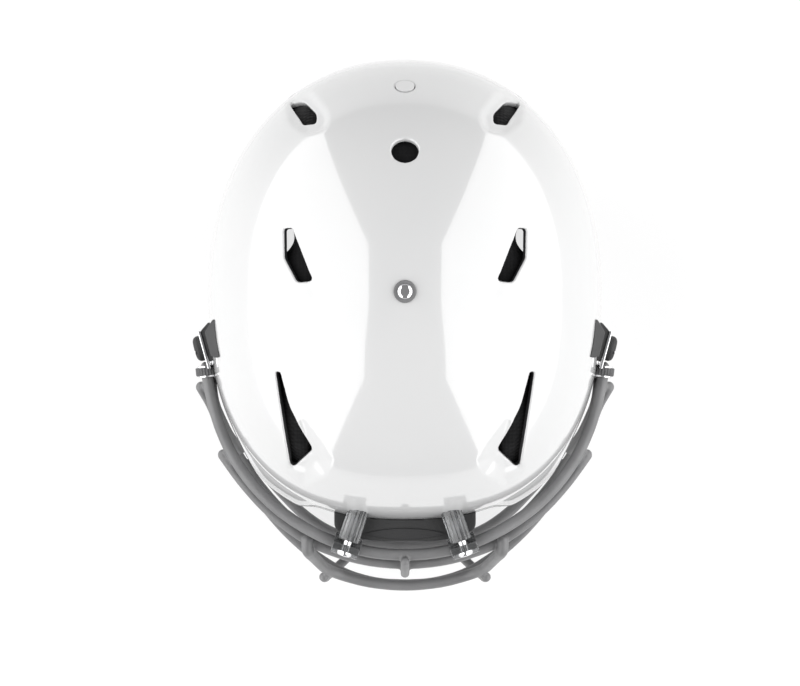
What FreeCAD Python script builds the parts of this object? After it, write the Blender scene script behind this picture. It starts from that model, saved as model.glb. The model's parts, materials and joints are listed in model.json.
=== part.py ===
import FreeCAD, Part
import math
import os
import Sketcher

# American football helmet: a hard shell with vents, a wire face guard held by two front clips and
# two quarter-turn side releases, rubber bumpers, and foam liner pads.
# Frame: +Z up, the face towards -Y, the wearer's left towards +X, resting on the jaw flaps at Z = 0.
# Shapes are laid out from the crown's axis and then moved back by crown_offset.

V = FreeCAD.Vector
X_AXIS, Y_AXIS, Z_AXIS = V(1, 0, 0), V(0, 1, 0), V(0, 0, 1)
BIG = 400.0

DIMENSIONS = [
    ("shell_half_width", 118.0),
    ("shell_front", 137.0),
    ("shell_back", 139.0),
    ("equator_height", 132.0),
    ("crown_rise", 108.0),
    ("shell_wall", 4.0),
    ("front_squareness", 2.45),
    ("back_squareness", 2.15),
    ("side_tuck", 11.0),
    ("front_tuck", 12.0),
    ("nape_curve", 158.0),
    ("bar_radius", 3.5),
    ("strut_radius", 3.0),
    ("centre_strut_radius", 2.7),
    ("pad_thickness", 30.0),
    ("jaw_pad_thickness", 24.0),
    ("pad_gap", 0.5),
    ("vent_hole_radius", 7.8),
    ("ear_hole_radius", 15.0),
    ("crown_screw_radius", 2.4),
    ("crown_head_radius", 4.35),
    ("crown_head_height", 2.6),
    ("crown_washer_radius", 6.4),
    ("crown_washer_height", 1.2),
    ("thread_clearance", 0.15),
    ("nut_flange_radius", 8.0),
    ("nut_flange_height", 1.5),
    ("nut_barrel_radius", 3.6),
    ("nut_gap", 0.6),
    ("rear_plug_radius", 5.65),
    ("bumper_proud", 13.0),
    ("bumper_plate_thickness", 1.2),
    ("nape_bumper_half_angle", 34.0),
    ("nape_bumper_thickness", 3.0),
    ("nape_bumper_rise", 22.0),
    ("front_clip_width", 16.5),
    ("front_clip_wall", 2.3),
    ("bar_clearance", 0.5),
    ("plug_clearance", 0.15),
    ("front_screw_rise", 12.5),
    ("front_screw_radius", 2.5),
    ("front_head_radius", 4.6),
    ("front_head_height", 3.0),
    ("front_ear_thickness", 4.0),
    ("front_spacer_radius", 6.4),
    ("side_clip_behind", 10.0),
    ("side_clip_turn", 15.4),
    ("side_clip_length", 23.0),
    ("side_clip_tall", 22.0),
    ("side_clip_thickness", 1.8),
    ("side_socket_length", 7.0),
    ("side_socket_wall", 1.5),
    ("knob_radius", 7.6),
    ("knob_height", 5.0),
    ("knob_shaft_radius", 3.0),
    ("knob_slot_width", 1.6),
    ("knob_slot_depth", 1.4),
    ("running_clearance", 0.3),
    ("knob_stop_radius", 4.3),
    ("knob_stop_height", 1.6),
    ("receiver_flange", 1.6),
    ("grip_thickness", 1.1),
    ("grip_length", 5.0),
    ("snap_head_radius", 4.7),
    ("snap_neck_radius", 3.6),
    ("snap_base_radius", 7.5),
]

doc = FreeCAD.newDocument("helmet")
sheet = doc.addObject("Spreadsheet::Sheet", "sizes")
for row, (alias, value) in enumerate(DIMENSIONS, start=1):
    sheet.set("A%d" % row, alias)
    sheet.set("B%d" % row, "%g" % value)
    sheet.setAlias("B%d" % row, alias)
doc.recompute()


class Sizes:
    """Reads a driving dimension from the sheet by its alias."""

    def __getattr__(self, alias):
        return float(sheet.get(alias))


size = Sizes()
crown_height = size.equator_height + size.crown_rise
parts = []


def keep(node, label):
    """Registers a finished sub-part under the name of its node."""
    node.Label = label
    parts.append(node)
    return node


def add_shape(label, shape):
    """A sub-part whose surfaces are computed here, placed from the crown's axis."""
    node = doc.addObject("Part::Feature", label)
    node.Shape = shape
    node.Placement = to_frame
    return keep(node, label)


def mirrored(source, label):
    """The same sub-part on the wearer's other side."""
    twin = doc.addObject("Part::Mirroring", label)
    twin.Source = source
    twin.Normal = X_AXIS
    twin.Base = V(0, 0, 0)
    return keep(twin, label)


def grouped(label, members):
    """Identical pieces that share one node as separate solids."""
    group = doc.addObject("Part::Compound", label)
    group.Links = members
    return keep(group, label)


# ---------------------------------------------------------------- how the layout follows the shell
# Outlines and routes are written for a shell of the layout's sizes, and stretch with the sheet's.

LAYOUT_HALF_WIDTH = 118.0
LAYOUT_FRONT = 137.0
LAYOUT_BACK = 139.0
LAYOUT_EQUATOR = 132.0
LAYOUT_RISE = 108.0
LAYOUT_BAR_RADIUS = 3.5


def across(x):
    return x * size.shell_half_width / LAYOUT_HALF_WIDTH


def along(y):
    return y * (size.shell_front / LAYOUT_FRONT if y < 0 else size.shell_back / LAYOUT_BACK)


def upward(z):
    if z <= LAYOUT_EQUATOR:
        return z * size.equator_height / LAYOUT_EQUATOR
    return size.equator_height + (z - LAYOUT_EQUATOR) * size.crown_rise / LAYOUT_RISE


def fitted_route(points):
    """A wire's route on the sheet's shell, moved out as the wire thickens so that its gaps stay."""
    thicker = size.bar_radius - LAYOUT_BAR_RADIUS
    spread = 1 + thicker / LAYOUT_HALF_WIDTH
    return [(across(x) * spread, along(y) - thicker, upward(z)) for x, y, z in points]


def welded(points, other, reach):
    """A route whose first point is set at a distance from another route, so that the wires touch."""
    start = V(*points[0])
    legs = [Part.LineSegment(V(*here), V(*after)).toShape() for here, after in zip(other, other[1:])]
    nearest = Part.Wire(legs).distToShape(Part.Vertex(start))[1][0][0]
    moved = nearest + (start - nearest).normalize() * reach
    return [(moved.x, moved.y, moved.z)] + points[1:]


def fitted_plan(corners):
    """A top-view outline of (x, y, radius) corners on the sheet's shell."""
    return [(across(x), along(y), radius) for x, y, radius in corners]


def fitted_side(corners):
    """A side-view outline of (y, z, radius) corners on the sheet's shell."""
    return [(along(y), upward(z), radius) for y, z, radius in corners]


brow_height = upward(134.0)
nape_height = upward(22.0)

# ---------------------------------------------------------------- routes of the face guard's wires
# Each route is the middle of the wire; bars that cross the helmet are given up to its middle.

BAR_LAYOUT = {
    "brow_bar": [
        (-118.8, -45.2, 137.5),
        (-117.6, -55.0, 137.5),
        (-115.0, -66.0, 138.0),
        (-111.6, -78.5, 138.5),
        (-105.8, -92.5, 139.5),
        (-98.8, -104.6, 141.0),
        (-89.6, -116.5, 142.5),
        (-77.0, -128.8, 144.5),
        (-62.6, -138.8, 146.0),
        (-47.0, -147.0, 147.0),
        (-24.0, -154.8, 147.0),
        (0.0, -157.0, 147.0),
    ],
    "lower_brow_bar": [
        (-108.7, -97.8, 135.3),
        (-98.0, -113.4, 132.5),
        (-84.0, -129.6, 130.5),
        (-69.0, -142.5, 129.0),
        (-53.0, -152.5, 128.0),
        (-27.0, -161.5, 127.0),
        (0.0, -164.3, 127.0),
    ],
    "nose_bar": [
        (-58.6, -148.9, 135.3),
        (-58.6, -155.2, 134.0),
        (-57.6, -157.8, 126.0),
        (-55.8, -161.0, 112.0),
        (-53.5, -165.5, 96.0),
        (-49.5, -171.5, 80.0),
        (-42.0, -176.0, 71.0),
        (-24.0, -181.5, 68.0),
        (0.0, -184.0, 68.0),
    ],
    "mouth_bar": [
        (-121.8, -57.2, 133.0),
        (-116.2, -68.5, 123.5),
        (-112.2, -83.0, 110.0),
        (-107.0, -99.0, 94.5),
        (-99.2, -115.5, 78.0),
        (-88.6, -133.0, 65.0),
        (-75.0, -150.5, 56.0),
        (-58.0, -166.5, 51.0),
        (-38.0, -179.0, 49.0),
        (-18.0, -184.5, 49.0),
        (0.0, -185.5, 49.0),
    ],
    "chin_bar": [
        (-108.6, -98.2, 47.2),
        (-101.5, -111.5, 38.0),
        (-90.5, -127.0, 34.0),
        (-76.0, -143.5, 31.0),
        (-57.5, -157.5, 29.0),
        (-30.0, -167.5, 28.0),
        (0.0, -170.0, 28.0),
    ],
    "lower_chin_bar": [
        (-97.0, -107.4, 36.3),
        (-88.5, -118.5, 23.0),
        (-79.0, -130.5, 13.0),
        (-67.0, -143.5, 8.0),
        (-50.0, -155.5, 6.5),
        (-26.0, -163.0, 6.0),
        (0.0, -165.0, 6.0),
    ],
}
WIRE_LAYOUT = {
    "jaw_bar": ("bar_radius", [
        (-117.0, -54.0, 130.6),
        (-116.4, -67.0, 114.0),
        (-113.5, -78.0, 96.0),
        (-109.5, -90.0, 76.0),
        (-104.3, -99.5, 52.0),
    ]),
    "front_strut": ("strut_radius", [
        (-50.5, -177.6, 74.0),
        (-50.3, -179.7, 60.0),
        (-49.0, -179.4, 48.0),
        (-43.5, -175.8, 37.5),
        (-37.4, -170.9, 27.0),
        (-32.3, -167.0, 6.0),
    ]),
}
CENTRE_STRUT = fitted_route([(0, -159.9, 152.4), (0, -162.9, 147.0), (0, -169.9, 125.6)])
BARS = {label: fitted_route(points) for label, points in BAR_LAYOUT.items()}
WIRES = {label: fitted_route(points) for label, (radius, points) in WIRE_LAYOUT.items()}
weld_reach = 2 * size.bar_radius - 0.2
BARS["lower_brow_bar"] = welded(BARS["lower_brow_bar"], BARS["brow_bar"], weld_reach)
BARS["mouth_bar"] = welded(BARS["mouth_bar"], BARS["brow_bar"], weld_reach)
WIRES["jaw_bar"] = welded(WIRES["jaw_bar"], BARS["mouth_bar"], weld_reach)
BARS["chin_bar"] = welded(BARS["chin_bar"], WIRES["jaw_bar"], weld_reach)
BARS["lower_chin_bar"] = welded(BARS["lower_chin_bar"], BARS["chin_bar"], weld_reach)
guard_reach = size.bar_radius - min(y for points in BARS.values() for x, y, z in points)
crown_offset = (guard_reach - size.shell_back) / 2
to_frame = FreeCAD.Placement(V(0, crown_offset, 0), FreeCAD.Rotation())


# ---------------------------------------------------------------- the dome that shell and pads share

def plan_axes(height, inset):
    """Half-width, front reach and back reach of the dome at a height, inset from its outer face."""
    wide = size.shell_half_width - inset
    front = size.shell_front - inset
    back = size.shell_back - inset
    if height >= size.equator_height:
        rise = (height - size.equator_height) / (size.crown_rise - inset)
        share = math.sqrt(max(0.0, 1.0 - rise * rise))
        return wide * share, front * share, back * share
    drop = size.equator_height - height
    share = drop / size.equator_height
    nape = math.sqrt(1.0 - (drop / size.nape_curve) ** 2)
    return wide - size.side_tuck * share ** 2, front - size.front_tuck * share ** 2, back * nape


def plan_radius(angle, height, inset):
    """Distance from the crown's axis to the dome in one direction, at one height."""
    wide, front, back = plan_axes(height, inset)
    reach, power = (front, size.front_squareness) if math.sin(angle) < 0 else (back, size.back_squareness)
    sideways = abs(math.cos(angle) / wide) ** power
    lengthways = abs(math.sin(angle) / reach) ** power
    return (sideways + lengthways) ** (-1.0 / power)


def plan_ring(height, inset, count=40):
    """A closed horizontal section of the dome."""
    points = []
    for step in range(count):
        angle = 2 * math.pi * step / count
        radius = plan_radius(angle, height, inset)
        points.append(V(radius * math.cos(angle), radius * math.sin(angle), height))
    curve = Part.BSplineCurve()
    curve.interpolate(Points=points, PeriodicFlag=True)
    return Part.Wire([curve.toShape()])


def dome(inset):
    """The solid dome, closed below the helmet's lowest edge, inset from the shell's outer face."""
    low = [-10, 22, 50, 78, 106]
    below = [upward(level) for level in low]
    rise = size.crown_rise - inset
    climbs = [0, 13, 26, 38, 50, 61, 71, 79.5, 85.5, 87.6]
    above = [size.equator_height + rise * math.sin(math.radians(climb)) for climb in climbs]
    return Part.makeLoft([plan_ring(height, inset) for height in below + above], True)


def rounded_wire(corners, plane="YZ"):
    """A closed outline from (a, b, radius) corners, each rounded by its radius."""
    def lift(a, b):
        return V(0, a, b) if plane == "YZ" else V(a, b, 0)

    edges = []
    starts, ends = [], []
    count = len(corners)
    for index, (a, b, radius) in enumerate(corners):
        here = lift(a, b)
        before = lift(*corners[index - 1][:2])
        after = lift(*corners[(index + 1) % count][:2])
        back, ahead = (before - here).normalize(), (after - here).normalize()
        if radius <= 0:
            starts.append(here)
            ends.append(here)
            edges.append(None)
            continue
        half = back.getAngle(ahead) / 2
        reach = radius / math.tan(half)
        middle = (back + ahead).normalize() * (radius / math.sin(half) - radius)
        starts.append(here + back * reach)
        ends.append(here + ahead * reach)
        edges.append(Part.Arc(starts[-1], here + middle, ends[-1]).toShape())
    outline = []
    for index in range(count):
        if edges[index] is not None:
            outline.append(edges[index])
        following = (index + 1) % count
        if ends[index].distanceToPoint(starts[following]) > 1e-6:
            outline.append(Part.LineSegment(ends[index], starts[following]).toShape())
    return Part.Wire(outline)


def side_prism(corners):
    """A side-view outline carried right across the helmet."""
    face = Part.Face(rounded_wire(corners, "YZ"))
    face.translate(V(-BIG / 2, 0, 0))
    return face.extrude(V(BIG, 0, 0))


def plan_prism(corners, low, high):
    """A top-view outline carried from one height to another."""
    face = Part.Face(rounded_wire(corners, "XY"))
    face.translate(V(0, 0, low))
    return face.extrude(V(0, 0, high - low))


def box(low, high):
    span = V(*high) - V(*low)
    return Part.makeBox(span.x, span.y, span.z, V(*low))


def flipped(shape):
    """The shape on the other side of the helmet's middle."""
    return shape.mirror(V(0, 0, 0), X_AXIS)


def surface_point(x, y):
    """The point of the dome's outer face above a place in plan, from its middle upwards."""
    reach, power = size.shell_back, size.back_squareness
    if y < 0:
        reach, power = size.shell_front, size.front_squareness
    share = (abs(x / size.shell_half_width) ** power + abs(y / reach) ** power) ** (1.0 / power)
    return V(x, y, size.equator_height + size.crown_rise * math.sqrt(max(0.0, 1.0 - share * share)))


def surface_normal(point):
    """The outward direction of the dome at a point of its outer face."""
    nudge = 0.05
    slope_x = (surface_point(point.x + nudge, point.y) - surface_point(point.x - nudge, point.y))
    slope_y = (surface_point(point.x, point.y + nudge) - surface_point(point.x, point.y - nudge))
    return slope_x.cross(slope_y).normalize()


outer_dome = dome(0)
inner_dome = dome(size.shell_wall)

# ---------------------------------------------------------------- shell

SIDE_OUTLINE = fitted_side([
    (180, 280, 0),
    (-180, 280, 0),
    (-180, 134, 0),
    (-74, 131, 24),
    (-75, 66, 26),
    (-100, 45, 10),
    (-94, 12, 12),
    (-78, 0, 14),
    (14, 0, 16),
    (34, 22, 16),
    (180, 22, 0),
])
FRONT_VENT = fitted_plan([
    (-73.8, -45.6, 0.6),
    (-66.2, -103.6, 2.2),
    (-53.6, -91.2, 2.4),
    (-66.6, -66.0, 40.0),
    (-71.6, -46.4, 0.6),
])
MIDDLE_VENT = fitted_plan([
    (-68.8, 36.0, 1.6),
    (-68.4, 19.0, 4.0),
    (-61.0, 5.2, 2.5),
    (-52.4, 6.0, 1.6),
    (-64.5, 36.0, 1.2),
])
REAR_VENT = fitted_plan([
    (-67.6, 110.4, 0.8),
    (-58.6, 112.4, 6.0),
    (-50.6, 98.6, 1.8),
    (-58.6, 96.2, 2.0),
])

plug_seat = surface_point(0, along(118.9))
plug_normal = surface_normal(plug_seat)
vent_seat = surface_point(0, along(80.1))
vent_normal = surface_normal(vent_seat)
ear_centre = V(0, along(6.0), upward(86.0))


def through(radius, centre, direction, depth=24.0):
    """A drill through the shell, centred on a point of its outer face."""
    return Part.makeCylinder(radius, depth, centre - direction * (depth / 2), direction)


# The front clip sits on the brow bar's run beside the middle, square to it.
run_start, run_end = V(*BARS["brow_bar"][-3]), V(*BARS["brow_bar"][-2])
clip_run = (run_end - run_start).normalize()
clip_seat = run_start + clip_run * ((across(-34.8) - run_start.x) / clip_run.x)
clip_outward = clip_run.cross(Z_AXIS).normalize()
front_screw_level = clip_seat + V(0, 0, size.front_screw_rise)
side_angle = math.radians(size.side_clip_turn)
side_outward = V(-math.cos(side_angle), -math.sin(side_angle), 0)
side_forward = V(math.sin(side_angle), -math.cos(side_angle), 0)
side_seat = V(across(-118.6), along(-33.0), upward(140.0))
SNAPS = [(along(-50.0), upward(99.0)), (along(-28.0), upward(38.0))]


def side_point(ahead, height):
    """The point of the dome's outer face on the negative X side."""
    wide, front, back = plan_axes(height, 0)
    reach, power = (front, size.front_squareness) if ahead < 0 else (back, size.back_squareness)
    return V(-wide * (1 - abs(ahead / reach) ** power) ** (1 / power), ahead, height)


def snap_place(ahead, height):
    """A chin-strap stud's seat on the negative X side and the direction it points."""
    nudge = 0.5
    backwards = side_point(ahead + nudge, height) - side_point(ahead - nudge, height)
    upwards = side_point(ahead, height + nudge) - side_point(ahead, height - nudge)
    return side_point(ahead, height), upwards.cross(backwards).normalize()


shell = outer_dome.cut(inner_dome).common(side_prism(SIDE_OUTLINE))
vent_cutters = []
for outline in (FRONT_VENT, MIDDLE_VENT, REAR_VENT):
    cutter = plan_prism(outline, size.equator_height + 10, crown_height + 20)
    vent_cutters += [cutter, flipped(cutter)]
nut_hole = size.nut_barrel_radius + size.thread_clearance
drills = [
    through(nut_hole, V(0, 0, crown_height), Z_AXIS),
    through(size.vent_hole_radius, vent_seat, vent_normal),
    through(size.rear_plug_radius, plug_seat, plug_normal),
    through(size.ear_hole_radius, ear_centre, X_AXIS, BIG),
]
for cutter in (
    through(size.front_screw_radius + size.thread_clearance, front_screw_level, clip_outward, 60.0),
    through(size.knob_shaft_radius + size.running_clearance, side_seat, side_outward, 40.0),
):
    drills += [cutter, flipped(cutter)]
for ahead, height in SNAPS:
    seat, outward = snap_place(ahead, height)
    cutter = through(1.6 + size.thread_clearance, seat, outward)
    drills += [cutter, flipped(cutter)]
shell = shell.cut(vent_cutters + drills)
add_shape("shell", shell)

# ---------------------------------------------------------------- rubber bumpers

bumper_front = size.shell_front + size.bumper_proud
bumper_top = upward(150.0)
half_bumper = across(42.0)
flat_bumper = across(26.0)
BUMPER_OUTLINE = [
    (-half_bumper, along(-120.0), 0),
    (-half_bumper, 9 - bumper_front, 5),
    (-flat_bumper, 2 - bumper_front, 60),
    (flat_bumper, 2 - bumper_front, 60),
    (half_bumper, 9 - bumper_front, 5),
    (half_bumper, along(-120.0), 0),
]
bumper_block = plan_prism(BUMPER_OUTLINE, upward(126.0), bumper_top)
brow_core = outer_dome.common(box((-BIG, -BIG, brow_height - 0.3), (BIG, BIG, crown_height)))
brow_hollow = dome(size.shell_wall + 3.0)
bumper = bumper_block.cut([shell, brow_core, brow_hollow])
plate_half_width = across(24.6)
plate_half_depth = 3.1
plate_middle = V(0, -(size.shell_front + bumper_front) / 2 - 0.2, bumper_top)
plate_sink = 0.5
bow = (plate_half_width ** 2 + plate_half_depth ** 2) / (2 * plate_half_depth)


def lens(thickness, low):
    """A flat lens-shaped plate: the overlap of two equal discs."""
    shift = V(0, bow - plate_half_depth, 0)
    base = plate_middle + V(0, 0, low)
    upper = Part.makeCylinder(bow, thickness, base + shift)
    return upper.common(Part.makeCylinder(bow, thickness, base - shift))


clip_room = size.bar_radius + size.bar_clearance + size.front_clip_wall + 0.3
room_start = clip_seat - clip_run * (size.front_clip_width / 2 + 0.3)
clip_relief = Part.makeCylinder(clip_room, size.front_clip_width + 0.6, room_start, clip_run)
add_shape("front_bumper", bumper.cut([clip_relief, flipped(clip_relief), lens(BIG / 4, -plate_sink)]))
add_shape("bumper_plate", lens(size.bumper_plate_thickness, -plate_sink))

nape_reach = math.tan(math.radians(size.nape_bumper_half_angle)) * along(110.0)
NAPE_OUTLINE = [
    (-nape_reach, along(62.0), 6),
    (nape_reach, along(62.0), 6),
    (nape_reach, BIG / 2, 6),
    (-nape_reach, BIG / 2, 6),
]
nape_region = plan_prism(NAPE_OUTLINE, nape_height, nape_height + size.nape_bumper_rise)
add_shape("rear_bumper", dome(-size.nape_bumper_thickness).common(nape_region).cut(outer_dome))

# ---------------------------------------------------------------- face guard

def bent_wire(points, radius):
    """A round wire along straight runs joined by tangent arcs, with ball ends."""
    places = [V(*point) for point in points]
    edges = []
    last = places[0]
    for before, here, after in zip(places, places[1:], places[2:]):
        back, ahead = (before - here), (after - here)
        trim = 0.47 * min(back.Length, ahead.Length)
        back.normalize()
        ahead.normalize()
        start, end = here + back * trim, here + ahead * trim
        half = back.getAngle(ahead) / 2
        if math.pi - 2 * half < 0.004:
            continue
        bend = trim * math.tan(half)
        middle = here + (back + ahead).normalize() * (bend / math.sin(half) - bend)
        edges.append(Part.LineSegment(last, start).toShape())
        edges.append(Part.Arc(start, middle, end).toShape())
        last = end
    edges.append(Part.LineSegment(last, places[-1]).toShape())
    path = Part.Wire(edges)
    heading = (places[1] - places[0]).normalize()
    section = Part.Wire([Part.makeCircle(radius, places[0], heading)])
    tube = path.makePipeShell([section], True, True)
    balls = [Part.makeSphere(radius, places[0]), Part.makeSphere(radius, places[-1])]
    return tube.fuse(balls).removeSplitter()


def both_sides(points):
    """A route across the helmet from the points of its negative X half."""
    return points + [(-x, y, z) for x, y, z in reversed(points[:-1])]


for label, points in BARS.items():
    add_shape(label, bent_wire(both_sides(points), size.bar_radius))
for label, (radius, points) in WIRE_LAYOUT.items():
    right = add_shape("right_" + label, bent_wire(WIRES[label], getattr(size, radius)))
    mirrored(right, "left_" + label)
add_shape("centre_strut", bent_wire(CENTRE_STRUT, size.centre_strut_radius))

# ---------------------------------------------------------------- turned and sketched fittings

def origin_plane(body, role):
    return next(plane for plane in body.Origin.OriginFeatures if plane.Role == role)


def turned(label, steps, turn_place, rounding=None):
    """A body turned about its own Z axis from (radius, height) steps given as sheet expressions.

    One of its rims, named by its radius and height, can be rounded by an amount.
    """
    body = doc.addObject("PartDesign::Body", label)
    sketch = body.newObject("Sketcher::SketchObject", label + "_half")
    sketch.AttachmentSupport = (origin_plane(body, "XZ_Plane"), [""])
    sketch.MapMode = "FlatFace"
    values = [(evaluate(radius), evaluate(height)) for radius, height in steps]
    count = len(steps)
    for index in range(count):
        (x1, z1), (x2, z2) = values[index], values[(index + 1) % count]
        sketch.addGeometry(Part.LineSegment(V(x1, z1, 0), V(x2, z2, 0)), False)
    for index in range(count):
        sketch.addConstraint(Sketcher.Constraint("Coincident", index, 2, (index + 1) % count, 1))
    for index, (radius, height) in enumerate(steps):
        for kind, text, value in zip(("DistanceX", "DistanceY"), (radius, height), values[index]):
            row = sketch.addConstraint(Sketcher.Constraint(kind, -1, 1, index, 1, value))
            sketch.setExpression("Constraints[%d]" % row, text)
    turn = body.newObject("PartDesign::Revolution", label + "_turned")
    turn.Profile = sketch
    turn.ReferenceAxis = (sketch, ["V_Axis"])
    turn.Angle = 360
    doc.recompute()
    body.Tip = turn
    if rounding:
        radius, height, amount = rounding
        names = ring_edges(turn.Shape, evaluate(radius), evaluate(height))
        fillet = body.newObject("PartDesign::Fillet", label + "_round")
        fillet.Base = (turn, names)
        fillet.setExpression("Radius", amount)
        doc.recompute()
        body.Tip = fillet
    body.Placement = turn_place
    return body


def evaluate(text):
    """The value of a sheet expression."""
    return float(sheet.evalExpression(text))


def ring_edges(shape, radius, height):
    """The names of the circular edges of a turned shape at one radius and height."""
    names = []
    for number, edge in enumerate(shape.Edges, start=1):
        round_edge = edge.Curve.TypeId == "Part::GeomCircle" and abs(edge.Curve.Radius - radius) < 1e-4
        if round_edge and abs(edge.Curve.Center.z - height) < 1e-4:
            names.append("Edge%d" % number)
    return names


def aimed(point, direction, spin=0.0):
    """A placement that stands a turned piece's Z axis along a direction, from the crown's axis."""
    turn = FreeCAD.Rotation(Z_AXIS, direction)
    return FreeCAD.Placement(to_frame.Base + point, turn * FreeCAD.Rotation(Z_AXIS, spin))


def of(*names):
    """Joins sheet aliases and numbers into one sum that an expression can use."""
    return " + ".join("sizes.%s" % name if isinstance(name, str) else "(%g)" % name for name in names)


def less(alias, other):
    return "sizes.%s - sizes.%s" % (alias, other)


ZERO = "0 * sizes.shell_wall"
crown_top = V(0, 0, crown_height)

washer_rim = (of("crown_washer_radius"), of("crown_washer_height"))
keep(turned("crown_washer", [
    (of("crown_screw_radius", "thread_clearance"), ZERO),
    (of("crown_washer_radius"), ZERO),
    washer_rim,
    (of("crown_screw_radius", "thread_clearance"), of("crown_washer_height")),
], aimed(crown_top, Z_AXIS), (*washer_rim, "0.5 * sizes.crown_washer_height")), "crown_washer")

head_top = of("crown_washer_height", "crown_head_height")
head_rim = (of("crown_head_radius"), head_top)
keep(turned("crown_screw", [
    (ZERO, of(-13.0)),
    (of("crown_screw_radius"), of(-13.0)),
    (of("crown_screw_radius"), of("crown_washer_height")),
    (of("crown_head_radius"), of("crown_washer_height")),
    head_rim,
    (ZERO, head_top),
], aimed(crown_top, Z_AXIS), (*head_rim, "0.8 * sizes.crown_head_height")), "crown_screw")


def t_nut(label, screw_radius, seat, outward):
    """A flanged nut inside the shell, its barrel in the shell's hole, opening outwards."""
    flange_top = "0 - sizes.shell_wall - sizes.nut_gap"
    flange_low = flange_top + " - sizes.nut_flange_height"
    bore = of(screw_radius, "thread_clearance")
    return turned(label, [
        (bore, flange_low),
        (of("nut_flange_radius"), flange_low),
        (of("nut_flange_radius"), flange_top),
        (of("nut_barrel_radius"), flange_top),
        (of("nut_barrel_radius"), of(-0.4)),
        (bore, of(-0.4)),
    ], aimed(seat, outward))


keep(t_nut("crown_nut", "crown_screw_radius", crown_top, Z_AXIS), "crown_nut")
plug_rim = (less("rear_plug_radius", "plug_clearance"), of(0.25))
keep(turned("rear_plug", [
    (ZERO, "0 - sizes.shell_wall - 1.2"),
    (less("rear_plug_radius", "plug_clearance"), "0 - sizes.shell_wall - 1.2"),
    plug_rim,
    (ZERO, of(0.25)),
], aimed(plug_seat, plug_normal), (*plug_rim, of(0.2))), "rear_plug")


# ---------------------------------------------------------------- fittings made of primitives

def primitive(kind, name, place, **expressions):
    """A Part primitive whose sizes are bound to the sheet."""
    item = doc.addObject(kind, name)
    for field, text in expressions.items():
        item.setExpression(field, text)
    item.Placement = place
    return item


def combined(kind, name, base, tool):
    item = doc.addObject(kind, name)
    item.Base = base
    item.Tool = tool
    return item


def in_clip(frame_place, point, axis=Z_AXIS):
    """A placement inside a clip's own frame, with Z turned to an axis of that frame."""
    return frame_place * FreeCAD.Placement(V(*point), FreeCAD.Rotation(Z_AXIS, axis))


def clip_frame(point, outward):
    """A clip's frame: X points outwards, Y along the shell and Z up."""
    turn = FreeCAD.Rotation(outward, Z_AXIS.cross(outward), Z_AXIS, "XYZ")
    return FreeCAD.Placement(to_frame.Base + point, turn)


dome_relief = doc.addObject("Part::Feature", "dome_relief")
dome_relief.Shape = outer_dome
dome_relief.Placement = to_frame

# Front clips: a loop round the brow bar with a screwed ear above it.
front_frame = clip_frame(clip_seat, clip_outward)
half_clip = size.front_clip_width / 2
ear_back = -size.front_ear_thickness / 2
loop = primitive("Part::Cylinder", "front_loop", in_clip(front_frame, (0, -half_clip, 0), Y_AXIS),
                 Radius="sizes.bar_radius + sizes.bar_clearance + sizes.front_clip_wall",
                 Height="sizes.front_clip_width")
ear = primitive("Part::Box", "front_ear", in_clip(front_frame, (ear_back, -half_clip, 0)),
                Length="sizes.front_ear_thickness", Width="sizes.front_clip_width",
                Height="sizes.front_screw_rise + sizes.front_head_radius + 1")
bar_way = primitive("Part::Cylinder", "front_bar_way", in_clip(front_frame, (0, -20, 0), Y_AXIS),
                    Radius="sizes.bar_radius + sizes.bar_clearance", Height="40 mm")
screw_way = primitive("Part::Cylinder", "front_screw_way",
                      in_clip(front_frame, (-10, 0, size.front_screw_rise), X_AXIS),
                      Radius="sizes.front_screw_radius + sizes.thread_clearance", Height="20 mm")
clip_blank = combined("Part::Fuse", "front_clip_blank", loop, ear)
clip_bored = combined("Part::Cut", "front_clip_bored", clip_blank, bar_way)
right_front_clip = keep(combined("Part::Cut", "right_front_clip", clip_bored, screw_way), "right_front_clip")
mirrored(right_front_clip, "left_front_clip")

# The screw's seat on the shell, found along its own axis from the ear.
screw_line = Part.makeLine(front_screw_level, front_screw_level - clip_outward * 60)
shell_hits = screw_line.common(outer_dome)
seat_depth = max((vertex.Point - front_screw_level).dot(clip_outward) for vertex in shell_hits.Vertexes)
ear_face = size.front_ear_thickness / 2
spacer_length = -ear_face - seat_depth + 3.0
nut_place = front_screw_level + clip_outward * seat_depth


def room_behind(start, direction):
    """How far a line runs from a point before it enters the hollow inside the shell."""
    run = Part.makeLine(start, start + direction * 60).common(inner_dome)
    return min((vertex.Point - start).dot(direction) for vertex in run.Vertexes)


flange_rim = []
for side in (clip_run, clip_run * -1, Z_AXIS, Z_AXIS * -1):
    flange_rim.append(nut_place + side * size.nut_flange_radius)
nut_depth = 0.6 + max(room_behind(point, clip_outward * -1) for point in flange_rim)
ear_front_place = aimed(front_screw_level + clip_outward * ear_face, clip_outward)
screw_reach = ear_face - seat_depth + nut_depth + 3.0
front_screw = turned("front_screw", [
    (ZERO, of(-screw_reach)),
    (of("front_screw_radius"), of(-screw_reach)),
    (of("front_screw_radius"), ZERO),
    (of("front_head_radius"), ZERO),
    (of("front_head_radius"), of("front_head_height")),
    (ZERO, of("front_head_height")),
], ear_front_place, (of("front_head_radius"), of("front_head_height"), "0.7 * sizes.front_head_height"))


def pair(label, item):
    """A piece and its mirror image as one node."""
    twin = doc.addObject("Part::Mirroring", item.Name + "_twin")
    twin.Source = item
    twin.Normal = X_AXIS
    twin.Base = V(0, 0, 0)
    return grouped(label, [item, twin])


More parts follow.
